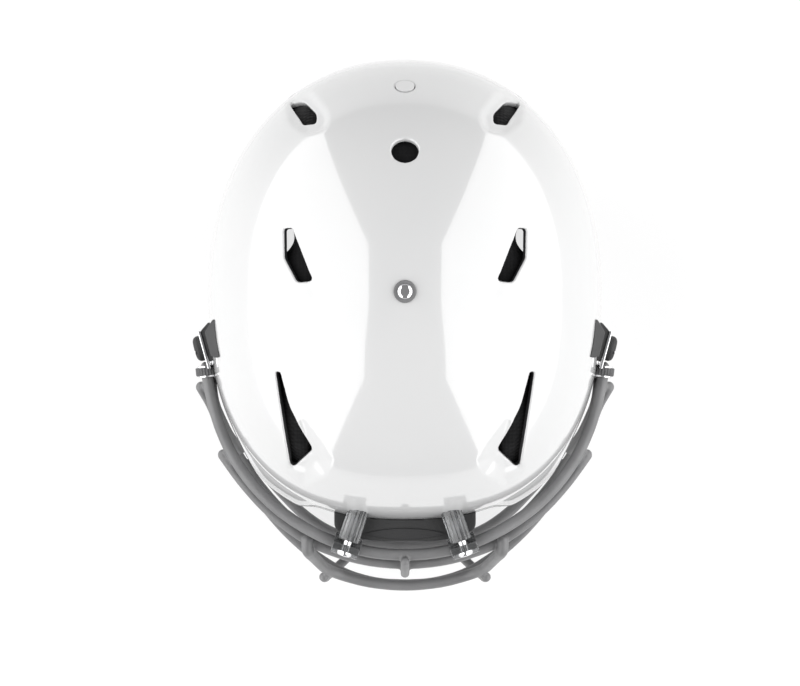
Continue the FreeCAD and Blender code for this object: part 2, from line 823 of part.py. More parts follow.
pair("front_clip_screws", front_screw)
bore = of("front_screw_radius", "thread_clearance")
spacer = turned("front_spacer", [
    (bore, of(-spacer_length)),
    (of("front_spacer_radius"), of(-spacer_length)),
    (of("front_spacer_radius"), ZERO),
    (bore, ZERO),
], aimed(front_screw_level - clip_outward * ear_face, clip_outward))
pair("front_clip_spacers", combined("Part::Cut", "front_spacer_seated", spacer, dome_relief))
screw_hole_nut = turned("front_nut", [
    (bore, of(-nut_depth - size.nut_flange_height)),
    (of("nut_flange_radius"), of(-nut_depth - size.nut_flange_height)),
    (of("nut_flange_radius"), of(-nut_depth)),
    (bore, of(-nut_depth)),
], aimed(nut_place, clip_outward))
pair("front_clip_nuts", screw_hole_nut)

# Side releases: a bracket that sockets the brow bar's end, on a contoured backing pad, held by a
# quarter-turn knob whose shaft passes through the bracket, the pad and the shell.
side_frame = clip_frame(side_seat, side_outward)
flange = primitive("Part::Box", "side_flange",
                   in_clip(side_frame, (0, -size.side_clip_behind, -size.side_clip_tall / 2)),
                   Length="sizes.side_clip_thickness", Width="sizes.side_clip_length",
                   Height="sizes.side_clip_tall")
shaft_way = primitive("Part::Cylinder", "side_shaft_way", in_clip(side_frame, (-10, 0, 0), X_AXIS),
                      Radius="sizes.knob_shaft_radius + sizes.running_clearance", Height="20 mm")
bar_end, bar_next = V(*BARS["brow_bar"][0]), V(*BARS["brow_bar"][1])
socket_heading = (bar_next - bar_end).normalize()
socket_start = to_frame.Base + bar_end - socket_heading * 1.0
socket_place = FreeCAD.Placement(socket_start, FreeCAD.Rotation(Z_AXIS, socket_heading))
socket = primitive("Part::Cylinder", "side_socket", socket_place,
                   Radius="sizes.bar_radius + sizes.bar_clearance + sizes.side_socket_wall",
                   Height="sizes.side_socket_length")
end_way = primitive("Part::Cylinder", "side_bar_way", FreeCAD.Placement(
                    to_frame.Base + bar_end - socket_heading * 5.0, socket_place.Rotation),
                    Radius="sizes.bar_radius + sizes.bar_clearance", Height="30 mm")
bracket = combined("Part::Fuse", "side_bracket", flange, socket)
bracket_bored = combined("Part::Cut", "side_bracket_bored", bracket, end_way)
bracket_drilled = combined("Part::Cut", "side_bracket_drilled", bracket_bored, shaft_way)
bracket_seated = combined("Part::Cut", "right_side_clip", bracket_drilled, dome_relief)
right_side_clip = keep(bracket_seated, "right_side_clip")
mirrored(right_side_clip, "left_side_clip")

grip_start = to_frame.Base + bar_end
sleeve = primitive("Part::Cylinder", "grip_sleeve", FreeCAD.Placement(grip_start, socket_place.Rotation),
                   Radius="sizes.bar_radius + sizes.bar_clearance + sizes.side_socket_wall"
                          " + sizes.grip_thickness",
                   Height="sizes.grip_length")
sleeve_way = primitive("Part::Cylinder", "grip_way", FreeCAD.Placement(
                       grip_start - socket_heading * 2, socket_place.Rotation),
                       Radius="sizes.bar_radius + sizes.bar_clearance + sizes.side_socket_wall",
                       Height="sizes.grip_length + 4")
grip_ring = combined("Part::Cut", "grip_ring", sleeve, sleeve_way)
grip_clear = combined("Part::Cut", "grip_clear", grip_ring, dome_relief)
grip_trimmed = combined("Part::Cut", "right_socket_grip", grip_clear, right_side_clip)
mirrored(keep(grip_trimmed, "right_socket_grip"), "left_socket_grip")


def plan_corner(outward, forward, radius):
    """A rounded corner of a top-view outline, placed in the side clip's frame."""
    place = side_seat + side_outward * outward + side_forward * forward
    return place.x, place.y, radius


back_end, front_end = -size.side_clip_behind, size.side_clip_length - size.side_clip_behind - 4.0
UPPER_PAD = [
    plan_corner(-3, back_end + 1.5, 1.0),
    (across(-112.5), along(-15.5), 1.5),
    (across(-99.0), along(-28.0), 6.0),
    (across(-109.5), along(-39.5), 4.0),
    plan_corner(-3, front_end - 3.0, 1.0),
]
LOWER_PAD = [
    plan_corner(0, back_end, 1.0),
    plan_corner(-6, back_end - 4.0, 1.0),
    plan_corner(-14, 0, 1.0),
    plan_corner(-4, front_end, 0.5),
    plan_corner(0, front_end, 0.5),
]
pad_low = upward(112.0)
pad_top = V(-size.shell_half_width * 0.87, 0, upward(176.0))
upper_pad = plan_prism(UPPER_PAD, pad_low, pad_top.z + 6)
lean = FreeCAD.Rotation(Y_AXIS, -46.0)
above = Part.makeBox(BIG, BIG, BIG / 4, V(-BIG / 2, -BIG / 2, 0))
above.Placement = FreeCAD.Placement(pad_top, lean) * above.Placement
lower_pad = plan_prism(LOWER_PAD, pad_low + 4, side_seat.z + size.side_clip_tall / 2 - 1)
shaft_hole = through(size.knob_shaft_radius + size.running_clearance, side_seat, side_outward, 40.0)
side_pad = upper_pad.cut(above).fuse(lower_pad).cut([outer_dome, shaft_hole]).removeSplitter()
right_clip_pad = add_shape("right_clip_pad", side_pad)
mirrored(right_clip_pad, "left_clip_pad")

# The inner face of the shell along the release's shaft.
side_line = Part.makeLine(side_seat, side_seat - side_outward * 40).common(inner_dome)
inner_depth = max((vertex.Point - side_seat).dot(side_outward) for vertex in side_line.Vertexes)
receiver_face = inner_depth - size.nut_gap - 1.2
shell_to_knob = size.side_clip_thickness + 0.2
knob_seat = aimed(side_seat + side_outward * shell_to_knob, side_outward)
knob_bottom = receiver_face - size.receiver_flange - shell_to_knob - size.running_clearance
stop = of("knob_stop_radius")
right_knob = turned("knob_turned", [
    (ZERO, of(knob_bottom - size.knob_stop_height)),
    (stop, of(knob_bottom - size.knob_stop_height)),
    (stop, of(knob_bottom)),
    (of("knob_shaft_radius"), of(knob_bottom)),
    (of("knob_shaft_radius"), ZERO),
    (of("knob_radius"), ZERO),
    (of("knob_radius"), of("knob_height")),
    (ZERO, of("knob_height")),
], knob_seat, (of("knob_radius"), of("knob_height"), "0.6 * sizes.knob_height"))
slot_place = knob_seat * FreeCAD.Placement(
    V(-BIG / 8, -size.knob_slot_width / 2, size.knob_height - size.knob_slot_depth), FreeCAD.Rotation())
knob_slot = primitive("Part::Box", "knob_slot", slot_place, Length="100 mm",
                      Width="sizes.knob_slot_width", Height="sizes.knob_slot_depth + 1")
knob_slotted = combined("Part::Cut", "right_release_knob", right_knob, knob_slot)
right_release = keep(knob_slotted, "right_release_knob")
mirrored(right_release, "left_release_knob")
receiver_bore = of("knob_shaft_radius", "running_clearance")
right_receiver = keep(turned("right_receiver", [
    (receiver_bore, of(-size.receiver_flange)),
    (of("nut_flange_radius"), of(-size.receiver_flange)),
    (of("nut_flange_radius"), ZERO),
    (receiver_bore, ZERO),
], aimed(side_seat + side_outward * receiver_face, side_outward)), "right_receiver")
mirrored(right_receiver, "left_receiver")

# Chin-strap studs.
studs = []
for number, (ahead, height) in enumerate(SNAPS):
    seat, outward = snap_place(ahead, height)
    stud = turned("snap%d" % number, [
        (ZERO, of(-5.0)),
        (of(1.6), of(-5.0)),
        (of(1.6), of(0.3)),
        (of("snap_base_radius"), of(0.3)),
        (of("snap_base_radius"), of(1.5)),
        (of("snap_neck_radius"), of(1.5)),
        (of("snap_neck_radius"), of(3.6)),
        (of("snap_head_radius"), of(3.6)),
        (of("snap_head_radius"), of(6.8)),
        (ZERO, of(6.8)),
    ], aimed(seat, outward), (of("snap_head_radius"), of(6.8), of(0.8)))
    twin = doc.addObject("Part::Mirroring", "snap_twin%d" % number)
    twin.Source = stud
    twin.Normal = X_AXIS
    studs += [stud, twin]
grouped("chin_strap_snaps", studs)

# ---------------------------------------------------------------- liner pads

outer_liner = size.shell_wall + size.pad_gap
layer = dome(outer_liner).cut(dome(outer_liner + size.pad_thickness))
jaw_layer = dome(outer_liner).cut(dome(outer_liner + size.jaw_pad_thickness))
TOP = 260
MIDDLE_PADS = {
    "crown_pad": [(-44, -58, 12), (44, -58, 12), (44, 60, 12), (-44, 60, 12), 176, TOP],
    "front_pad": [(-50, -150, 4), (50, -150, 4), (46, -63, 10), (-46, -63, 10), 138, 214],
    "rear_crown_pad": [(-38, 65, 10), (38, 65, 10), (38, 150, 4), (-38, 150, 4), 140, TOP],
    "back_pad": [(-38, 65, 4), (38, 65, 4), (38, 150, 4), (-38, 150, 4), 82, 135],
    "neck_pad": [(-64, 56, 4), (64, 56, 4), (64, 150, 4), (-64, 150, 4), 28, 77],
}
SIDE_PADS = {
    "temple_pad": [
        (-125, -42, 4), (-49, -42, 10), (-49, -70, 10), (-55, -108, 10), (-125, -108, 4),
        104, 216,
    ],
    "side_pad": [
        (-125, 22.2, 4), (-60.3, 22.2, 0.5), (-66.5, 37.5, 1), (-49, 37.5, 6), (-49, -37, 10),
        (-125, -37, 4),
        108, TOP,
    ],
    "rear_side_pad": [(-125, 40, 4), (-47, 40, 10), (-47, 125, 4), (-125, 125, 4), 82, 216],
}
JAW_PAD = fitted_side([
    (-88, 58, 12),
    (-88, 20, 10),
    (-76, 9, 10),
    (-16, 9, 10),
    (-16, 66, 12),
    (-68, 70, 14),
])
clearances = [
    through(size.nut_flange_radius + 1.5, crown_top, Z_AXIS, 44.0),
    through(size.rear_plug_radius + 1.5, plug_seat, plug_normal, 16.0),
]
room_radius = size.nut_flange_radius + 1.5
receiver_room = Part.makeCylinder(room_radius, 18.0, side_seat - side_outward * 24, side_outward)
nut_room = Part.makeCylinder(room_radius, 20.0, nut_place - clip_outward * 17, clip_outward)
snap_rooms = [through(3.0, *snap_place(*snap), 24.0) for snap in SNAPS]
for room in [receiver_room, nut_room] + snap_rooms:
    clearances += [room, flipped(room)]


def pad_from(source, region):
    """The largest solid of the liner layer inside a region, with room for the fasteners."""
    piece = source.common(region).cut(clearances)
    return max(piece.Solids, key=lambda solid: solid.Volume)


def pad_region(outline, low, high):
    return plan_prism(fitted_plan(outline), upward(low), upward(high))


for label, (*outline, low, high) in MIDDLE_PADS.items():
    add_shape(label, pad_from(layer, pad_region(outline, low, high)))
for label, (*outline, low, high) in SIDE_PADS.items():
    right = add_shape("right_" + label, pad_from(layer, pad_region(outline, low, high)))
    mirrored(right, "left_" + label)
jaw_region = side_prism(JAW_PAD).common(box((-BIG, -BIG, 0), (0, BIG, BIG)))
right_jaw_pad = add_shape("right_jaw_pad", pad_from(jaw_layer, jaw_region))
mirrored(right_jaw_pad, "left_jaw_pad")

# ---------------------------------------------------------------- checks and files

doc.recompute()
for item in doc.Objects:
    if "Invalid" in item.State or "Error" in item.State:
        raise RuntimeError("%s failed: %s" % (item.Label, item.State))
for node in parts:
    if node.Shape.isNull() or not node.Shape.isValid():
        raise RuntimeError("%s has no valid shape" % node.Label)
os.makedirs("parts", exist_ok=True)
for node in parts:
    node.Shape.exportStep("parts/%s.step" % node.Label)
    print("%-20s solids %d volume %8.0f" % (node.Label, len(node.Shape.Solids), node.Shape.Volume))
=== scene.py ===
import json
import math

import bmesh
import bpy
import numpy as np
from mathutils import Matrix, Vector


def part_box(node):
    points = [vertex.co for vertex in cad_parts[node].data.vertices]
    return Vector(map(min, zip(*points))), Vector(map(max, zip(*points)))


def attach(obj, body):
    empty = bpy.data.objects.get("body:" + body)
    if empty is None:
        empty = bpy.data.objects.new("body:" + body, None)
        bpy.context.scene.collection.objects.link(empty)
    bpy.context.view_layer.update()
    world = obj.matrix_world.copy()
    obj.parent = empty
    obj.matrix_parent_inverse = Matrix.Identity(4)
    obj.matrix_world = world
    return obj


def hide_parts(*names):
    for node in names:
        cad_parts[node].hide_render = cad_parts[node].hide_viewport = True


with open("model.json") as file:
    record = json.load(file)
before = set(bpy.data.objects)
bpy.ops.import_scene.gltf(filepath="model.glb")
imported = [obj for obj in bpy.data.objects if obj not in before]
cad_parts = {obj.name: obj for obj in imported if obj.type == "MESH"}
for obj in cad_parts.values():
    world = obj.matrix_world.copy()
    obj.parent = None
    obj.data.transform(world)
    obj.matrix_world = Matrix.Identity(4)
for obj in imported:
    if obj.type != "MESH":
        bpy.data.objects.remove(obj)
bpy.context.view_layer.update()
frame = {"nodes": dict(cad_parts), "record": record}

# The helmet: a gloss white shell over foam pads, a coated wire face guard, clear clips and black rubber.
# Metres throughout; the face is towards -Y and the crown's axis is the middle of the crown washer.

MM = 0.001
SHELL_LOW, SHELL_HIGH = (Vector(corner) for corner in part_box("shell"))
WASHER_LOW, WASHER_HIGH = (Vector(corner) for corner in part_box("crown_washer"))
CROWN_Y = (WASHER_LOW.y + WASHER_HIGH.y) / 2
CROWN_Z = WASHER_LOW.z
HALF_WIDTH = 118.0 * MM
FRONT_REACH = CROWN_Y - SHELL_LOW.y
BACK_REACH = SHELL_HIGH.y - CROWN_Y
EQUATOR = 132.0 * MM
CROWN_RISE = CROWN_Z - EQUATOR
FRONT_SQUARENESS, BACK_SQUARENESS = 2.45, 2.15
SIDE_TUCK, FRONT_TUCK, NAPE_CURVE = 11.0 * MM, 12.0 * MM, 158.0 * MM
WALL = 4.0 * MM


# ---------------------------------------------------------------- materials

class Recipe:
    """A procedural material built node by node."""

    def __init__(self, name, **sockets):
        self.material = bpy.data.materials.new(name)
        self.material.use_nodes = True
        self.tree = self.material.node_tree
        self.shader = self.tree.nodes["Principled BSDF"]
        for key, value in sockets.items():
            self.shader.inputs[key.replace("_", " ")].default_value = value

    def node(self, kind, **settings):
        node = self.tree.nodes.new(kind)
        for key, value in settings.items():
            if hasattr(node, key):
                setattr(node, key, value)
            else:
                node.inputs[key.replace("_", " ")].default_value = value
        return node

    def link(self, source, target):
        self.tree.links.new(source, target)

    def place(self, scale=(1, 1, 1)):
        coordinates = self.node("ShaderNodeTexCoord")
        mapping = self.node("ShaderNodeMapping")
        mapping.inputs["Scale"].default_value = scale
        self.link(coordinates.outputs["Object"], mapping.inputs["Vector"])
        return mapping.outputs["Vector"]

    def noise(self, scale, detail=3.0, stretch=(1, 1, 1)):
        noise = self.node("ShaderNodeTexNoise", Scale=scale, Detail=detail)
        self.link(self.place(stretch), noise.inputs["Vector"])
        return noise.outputs["Fac"]

    def ramp(self, source, stops):
        ramp = self.node("ShaderNodeValToRGB")
        elements = ramp.color_ramp.elements
        while len(elements) < len(stops):
            elements.new(0.5)
        for element, (position, colour) in zip(elements, stops):
            element.position = position
            element.color = (*colour, 1.0)
        self.link(source, ramp.inputs["Fac"])
        return ramp.outputs["Color"]

    def spread(self, source, low, high):
        """Spreads a 0 to 1 value between two numbers."""
        spread = self.node("ShaderNodeMapRange")
        spread.inputs["To Min"].default_value = low
        spread.inputs["To Max"].default_value = high
        self.link(source, spread.inputs["Value"])
        return spread.outputs["Result"]

    def bump(self, source, strength, distance):
        bump = self.node("ShaderNodeBump", Strength=strength, Distance=distance)
        self.link(source, bump.inputs["Height"])
        self.link(bump.outputs["Normal"], self.shader.inputs["Normal"])


def shell_finish():
    """Clear-coated white polycarbonate: faint orange peel and a little uneven gloss."""
    recipe = Recipe("shell_white", Metallic=0.0, IOR=1.5, Coat_Weight=1.0, Coat_Roughness=0.03)
    tint = recipe.noise(9.0, 2.0)
    recipe.link(recipe.ramp(tint, [(0.3, (0.452, 0.453, 0.455)), (0.7, (0.468, 0.468, 0.469))]),
                recipe.shader.inputs["Base Color"])
    recipe.link(recipe.spread(recipe.noise(60.0, 4.0), 0.10, 0.17), recipe.shader.inputs["Roughness"])
    recipe.bump(recipe.noise(420.0, 2.0), 0.06, 0.0004)
    return recipe.material


def guard_finish():
    """Dipped vinyl coat on welded wire: satin grey with a fine orange peel and a few scuffs."""
    recipe = Recipe("guard_coat", Metallic=0.0, IOR=1.5)
    tone = recipe.noise(45.0, 4.0)
    recipe.link(recipe.ramp(tone, [(0.3, (0.105, 0.105, 0.107)), (0.7, (0.135, 0.135, 0.137))]),
                recipe.shader.inputs["Base Color"])
    recipe.link(recipe.spread(recipe.noise(160.0, 4.0), 0.36, 0.52), recipe.shader.inputs["Roughness"])
    recipe.bump(recipe.noise(900.0, 3.0), 0.18, 0.0005)
    return recipe.material


def rubber_finish(name, dark, light, grain=1400.0):
    """Moulded rubber with a fine pebbled grain."""
    recipe = Recipe(name, Metallic=0.0, IOR=1.48)
    recipe.link(recipe.ramp(recipe.noise(30.0, 5.0), [(0.3, dark), (0.7, light)]),
                recipe.shader.inputs["Base Color"])
    recipe.link(recipe.spread(recipe.noise(240.0, 3.0), 0.48, 0.66), recipe.shader.inputs["Roughness"])
    cells = recipe.node("ShaderNodeTexVoronoi", Scale=grain)
    recipe.link(recipe.place(), cells.inputs["Vector"])
    recipe.bump(cells.outputs["Distance"], 0.35, 0.0003)
    return recipe.material


def metal_finish(name, low, high, rough_low, rough_high, stretch=(1, 1, 14)):
    """Plated steel with fine brushing and slight dulling."""
    recipe = Recipe(name, Metallic=1.0)
    recipe.link(recipe.ramp(recipe.noise(120.0, 3.0), [(0.3, low), (0.7, high)]),
                recipe.shader.inputs["Base Color"])
    recipe.link(recipe.spread(recipe.noise(500.0, 3.0, stretch), rough_low, rough_high),
                recipe.shader.inputs["Roughness"])
    recipe.bump(recipe.noise(1200.0, 2.0, stretch), 0.05, 0.0002)
    return recipe.material


def plastic_finish(name, refraction, clearness, dark, light, rough_low, rough_high):
    """See-through plastic with a faint moulding haze."""
    recipe = Recipe(name, Metallic=0.0, IOR=refraction, Transmission_Weight=clearness)
    recipe.link(recipe.ramp(recipe.noise(150.0, 3.0), [(0.3, dark), (0.7, light)]),
                recipe.shader.inputs["Base Color"])
    recipe.link(recipe.spread(recipe.noise(300.0, 3.0), rough_low, rough_high),
                recipe.shader.inputs["Roughness"])
    recipe.bump(recipe.noise(500.0, 2.0), 0.05, 0.0002)
    return recipe.material


def fabric_finish(name, dark, light, threads=900.0):
    """A knitted pad cover: crossed thread waves, soft sheen and uneven tone."""
    recipe = Recipe(name, Metallic=0.0, Specular_IOR_Level=0.12, Sheen_Weight=0.06, Sheen_Roughness=0.5,
                    IOR=1.45)
    tone = recipe.ramp(recipe.noise(70.0, 5.0), [(0.3, dark), (0.7, light)])
    recipe.link(tone, recipe.shader.inputs["Base Color"])
    recipe.link(recipe.spread(recipe.noise(400.0, 3.0), 0.72, 0.9), recipe.shader.inputs["Roughness"])
    waves = []
    for direction in ("X", "Y", "Z"):
        wave = recipe.node("ShaderNodeTexWave", bands_direction=direction, Scale=threads / 6.28)
        recipe.link(recipe.place(), wave.inputs["Vector"])
        waves.append(wave.outputs["Fac"])
    total = waves[0]
    for wave in waves[1:]:
        add = recipe.node("ShaderNodeMath", operation="ADD")
        recipe.link(total, add.inputs[0])
        recipe.link(wave, add.inputs[1])
        total = add.outputs[0]
    recipe.bump(total, 0.3, 0.0004)
    return recipe.material


SHELL_WHITE = shell_finish()
SMOKED = plastic_finish("smoked_plastic", 1.55, 0.85, (0.20, 0.205, 0.21), (0.30, 0.305, 0.31), 0.05, 0.16)
GUARD_COAT = guard_finish()
BUMPER_RUBBER = rubber_finish("bumper_rubber", (0.010, 0.010, 0.0105), (0.016, 0.016, 0.0165))
# A near-black colour for the vent walls: painted shade where the walls lie in shade.
VENT_WALL_SHADE = rubber_finish("vent_wall_painted_shade", (0.010, 0.010, 0.011), (0.018, 0.018, 0.019), 2200.0)
BACKING_RUBBER = rubber_finish("backing_rubber", (0.020, 0.020, 0.021), (0.030, 0.030, 0.031), 1800.0)
BLACK_RUBBER = rubber_finish("black_rubber", (0.008, 0.008, 0.0085), (0.014, 0.014, 0.0145))
GRIP_RUBBER = rubber_finish("grip_rubber", (0.05, 0.05, 0.052), (0.08, 0.08, 0.083), 900.0)
PLATE_BLACK = rubber_finish("plate_black", (0.006, 0.006, 0.007), (0.012, 0.012, 0.013), 2600.0)
CHROME = metal_finish("chrome_plate", (0.72, 0.72, 0.74), (0.86, 0.86, 0.87), 0.06, 0.16)
ZINC = metal_finish("zinc_plate", (0.45, 0.46, 0.48), (0.62, 0.62, 0.64), 0.24, 0.4)
WASHER_GREY = rubber_finish("washer_grey", (0.10, 0.10, 0.102), (0.16, 0.16, 0.163), 2000.0)
CLEAR = plastic_finish("clear_plastic", 1.58, 0.92, (0.80, 0.82, 0.84), (0.92, 0.93, 0.94), 0.03, 0.12)
PAD_KNIT = fabric_finish("pad_knit", (0.0035, 0.0035, 0.0038), (0.007, 0.007, 0.0075))

FINISH = {
    "rubber": BLACK_RUBBER,
    "plate": PLATE_BLACK,
    "guard": GUARD_COAT,
    "clear": CLEAR,
    "knob": BLACK_RUBBER,
    "bright": CHROME,
    "washer": WASHER_GREY,
    "steel": ZINC,
    "shell": SHELL_WHITE,
    "pad": PAD_KNIT,
}
SLOTS = {part["node"]: part["material_slot"] for part in frame["record"]["subparts"]}


def dress(piece, material):
    piece.data.materials.clear()
    piece.data.materials.append(material)


def finish_node(name):
    """Gives a carried-over CAD node its finish."""
    piece = frame["nodes"][name]
    material = FINISH[SLOTS[name]]
    if len(piece.material_slots) == 0:
        piece.data.materials.append(material)
    for holder in piece.material_slots:
        holder.material = material


def new_piece(name, vertices, faces, material, smooth=True):
    mesh = bpy.data.meshes.new(name)
    mesh.from_pydata([tuple(vertex) for vertex in vertices], [], faces)
    mesh.validate()
    if smooth:
        mesh.shade_smooth()
    piece = bpy.data.objects.new(name, mesh)
    bpy.context.scene.collection.objects.link(piece)
    mesh.materials.append(material)
    return piece


def modify(piece, kind, **settings):
    """Adds a modifier and applies it."""
    modifier = piece.modifiers.new("step", kind)
    for key, value in settings.items():
        setattr(modifier, key, value)
    apply_all(piece)


def apply_all(piece):
    graph = bpy.context.evaluated_depsgraph_get()
    shaped = bpy.data.meshes.new_from_object(piece.evaluated_get(graph), depsgraph=graph)
    piece.modifiers.clear()
    old = piece.data
    piece.data = shaped
    bpy.data.meshes.remove(old)


# ---------------------------------------------------------------- outlines as distance fields

# Outlines are (a, b, corner radius) in millimetres. The side outline is front to back from the crown's
# axis and height; the rest are seen from above, across and front to back from the crown's axis.

def rounded_outline(corners, turns=10):
    """Points round a closed outline of (a, b, radius) corners in millimetres, rounded by the radius."""
    outline = []
    count = len(corners)
    for index, (a, b, radius) in enumerate(corners):
        here = Vector((a, b))
        back = (Vector(corners[index - 1][:2]) - here).normalized()
        ahead = (Vector(corners[(index + 1) % count][:2]) - here).normalized()
        if radius <= 0:
            outline.append(here)
            continue
        half = back.angle(ahead) / 2
        reach = radius / math.tan(half)
        centre = here + (back + ahead).normalized() * (radius / math.sin(half))
        start, end = here + back * reach - centre, here + ahead * reach - centre
        sweep = math.atan2(start.x * end.y - start.y * end.x, start.dot(end))
        for step in range(turns + 1):
            turn = sweep * step / turns
            outline.append(centre + Vector((start.x * math.cos(turn) - start.y * math.sin(turn),
                                            start.x * math.sin(turn) + start.y * math.cos(turn))))
    return np.array([(point.x, point.y) for point in outline]) * MM


def distance_to(outline, points):
    """Signed distance of 2D points from a closed outline, positive outside it."""
    nearest = np.full(len(points), np.inf)
    inside = np.zeros(len(points), bool)
    for start, end in zip(outline, np.roll(outline, -1, axis=0)):
        run = end - start
        along = np.clip(((points - start) @ run) / max(run @ run, 1e-18), 0, 1)
        gap = points - (start + along[:, None] * run)
        nearest = np.minimum(nearest, (gap ** 2).sum(1))
        straddles = (start[1] > points[:, 1]) != (end[1] > points[:, 1])
        if start[1] != end[1]:
            crossing = start[0] + (points[:, 1] - start[1]) * run[0] / run[1]
            inside ^= straddles & (points[:, 0] < crossing)
    return np.sqrt(nearest) * np.where(inside, -1.0, 1.0)


SIDE_OUTLINE = rounded_outline([
    (180, 280, 0), (-180, 280, 0), (-180, 134, 0), (-74, 131, 24), (-75, 66, 26), (-100, 45, 10),
    (-94, 12, 12), (-78, 0, 14), (14, 0, 16), (34, 22, 16), (180, 22, 0)])
FRONT_VENT = rounded_outline([(-73.8, -45.6, 0.6), (-66.2, -103.6, 2.2), (-53.6, -91.2, 2.4),
                              (-66.6, -66.0, 40.0), (-71.6, -46.4, 0.6)])
MIDDLE_VENT = rounded_outline([(-68.8, 36.0, 1.6), (-68.4, 19.0, 4.0), (-61.0, 5.2, 2.5), (-52.4, 6.0, 1.6),
                               (-64.5, 36.0, 1.2)])
REAR_VENT = rounded_outline([(-67.8, 110.8, 0.6), (-59.6, 111.6, 6.0), (-51.6, 103.0, 5.0),
                             (-51.6, 97.4, 2.0), (-59.0, 97.0, 2.0)])
FRONT_RAMP = rounded_outline([(-60, -68, 3), (-66, -92, 2), (-70, -104, 3), (-60, -115, 4), (-45, -105.5, 5),
                              (-41.5, -97, 4), (-47, -86, 20)])
REAR_POCKET = rounded_outline([(-72, 118, 6), (-56, 120, 9), (-43, 103, 9), (-45, 92, 7), (-58, 90, 7),
                               (-68, 98, 8)])
MIDDLE_RAMP = rounded_outline([(-62, 12, 3), (-50, 10, 4), (-44, -2, 6), (-56, -8, 8)])


# ---------------------------------------------------------------- shell

COLUMNS, UPPER_ROWS, LOWER_ROWS = 480, 120, 76
LIP = 1.3 * MM
TOP_CLIMB = math.radians(88.7)
LOWEST_DROP = EQUATOR + 4 * MM
VENT_ZONE = EQUATOR + 10 * MM
DENT_ZONE = EQUATOR + 8 * MM
# Each dent: its outline, its depth and how far in from the outline it reaches that depth, in millimetres.
DENTS = ((FRONT_RAMP, 3.4, 9.0), (REAR_POCKET, 2.6, 4.5), (MIDDLE_RAMP, 1.2, 6.0))
SOFT_START, SOFT_RUN, SOFT_SHARE = 0.85, 0.3, 0.15
FLARE_OUT, FLARE_TOP, FLARE_RUN = 4.2, 153.0, 19.0
FLARE_LOWEST, FLARE_AHEAD = EQUATOR - 8 * MM, -60 * MM
FLARE_INNER, FLARE_INNER_RUN = 50.0, 14.0
FLARE_OUTER, FLARE_OUTER_RUN = 106.0, 26.0
EAR_HOLE, EAR_RADIUS = (6 * MM, 86 * MM), 15 * MM
CROWN_HOLE_RADIUS = 3.75 * MM
# The round vent and the plug's hole behind the crown: distance back and radius.
REAR_HOLES = ((80.1 * MM, 7.8 * MM), (118.9 * MM, 5.65 * MM))
HOLE_REACH = 30 * MM
NORMAL_STEP = 0.05 * MM
# The walls of the vents are coloured near black as painted shade, for the shade that falls in them: those
# this far from the middle and above this height.
SHADED_WALL_AWAY, SHADED_WALL_ABOVE, FIRST_SHADED_LEVEL = 45 * MM, 170 * MM, 3


def plan_radius(angle, wide, front, back):
    forward = np.sin(angle) < 0
    reach = np.where(forward, front, back)
    power = np.where(forward, FRONT_SQUARENESS, BACK_SQUARENESS)
    return (np.abs(np.cos(angle) / wide) ** power + np.abs(np.sin(angle) / reach) ** power) ** (-1 / power)


def dome_grid():
    """Rows of points over the dome from under its lowest edge to the crown screw's hole."""
    angle = np.arange(COLUMNS) * 2 * math.pi / COLUMNS
    rows = []
    for drop in np.linspace(LOWEST_DROP, 0, LOWER_ROWS, endpoint=False):
        share = drop / EQUATOR
        radius = plan_radius(angle, HALF_WIDTH - SIDE_TUCK * share ** 2,
                             FRONT_REACH - FRONT_TUCK * share ** 2,
                             BACK_REACH * math.sqrt(1 - (drop / NAPE_CURVE) ** 2))
        rows.append((radius, EQUATOR - drop))
    for climb in np.linspace(0, TOP_CLIMB, UPPER_ROWS):
        share = math.cos(climb)
        radius = plan_radius(angle, HALF_WIDTH * share, FRONT_REACH * share, BACK_REACH * share)
        rows.append((radius, EQUATOR + CROWN_RISE * math.sin(climb)))
    across, ahead = np.cos(angle), np.sin(angle)
    return np.array([np.stack([radius * across, radius * ahead, np.full(COLUMNS, z)], 1)
                     for radius, z in rows])


def grid_normals(grid):
    around = np.roll(grid, -1, axis=1) - np.roll(grid, 1, axis=1)
    upward = np.gradient(grid, axis=0)
    normals = np.cross(around, upward)
    return normals / np.linalg.norm(normals, axis=2, keepdims=True)


def smooth_step(value):
    value = np.clip(value, 0, 1)
    return value * value * (3 - 2 * value)


def dents(points):
    """How far the shell is pressed in round its vents, and out along the brow, at each point."""
    mirrored = np.stack([-np.abs(points[:, 0]), points[:, 1]], 1)
    upper = points[:, 2] > DENT_ZONE
    depth = np.zeros(len(points))
    for outline, amount, run in DENTS:
        inward = -distance_to(outline, mirrored)
        share = np.clip(inward / (run * MM), 0, 1)
        eased = SOFT_START + SOFT_SHARE * smooth_step((share - SOFT_START) / SOFT_RUN)
        share = np.where(share > SOFT_START, eased, share)
        depth += amount * MM * share * upper
    away = -mirrored[:, 0] / MM
    corner = smooth_step((away - FLARE_INNER) / FLARE_INNER_RUN)
    corner = corner * smooth_step((FLARE_OUTER - away) / FLARE_OUTER_RUN)
    drop = np.clip((FLARE_TOP - points[:, 2] / MM) / FLARE_RUN, 0, 1)
    at_brow = (mirrored[:, 1] < FLARE_AHEAD) * (points[:, 2] > FLARE_LOWEST)
    return depth - FLARE_OUT * MM * drop * corner * at_brow


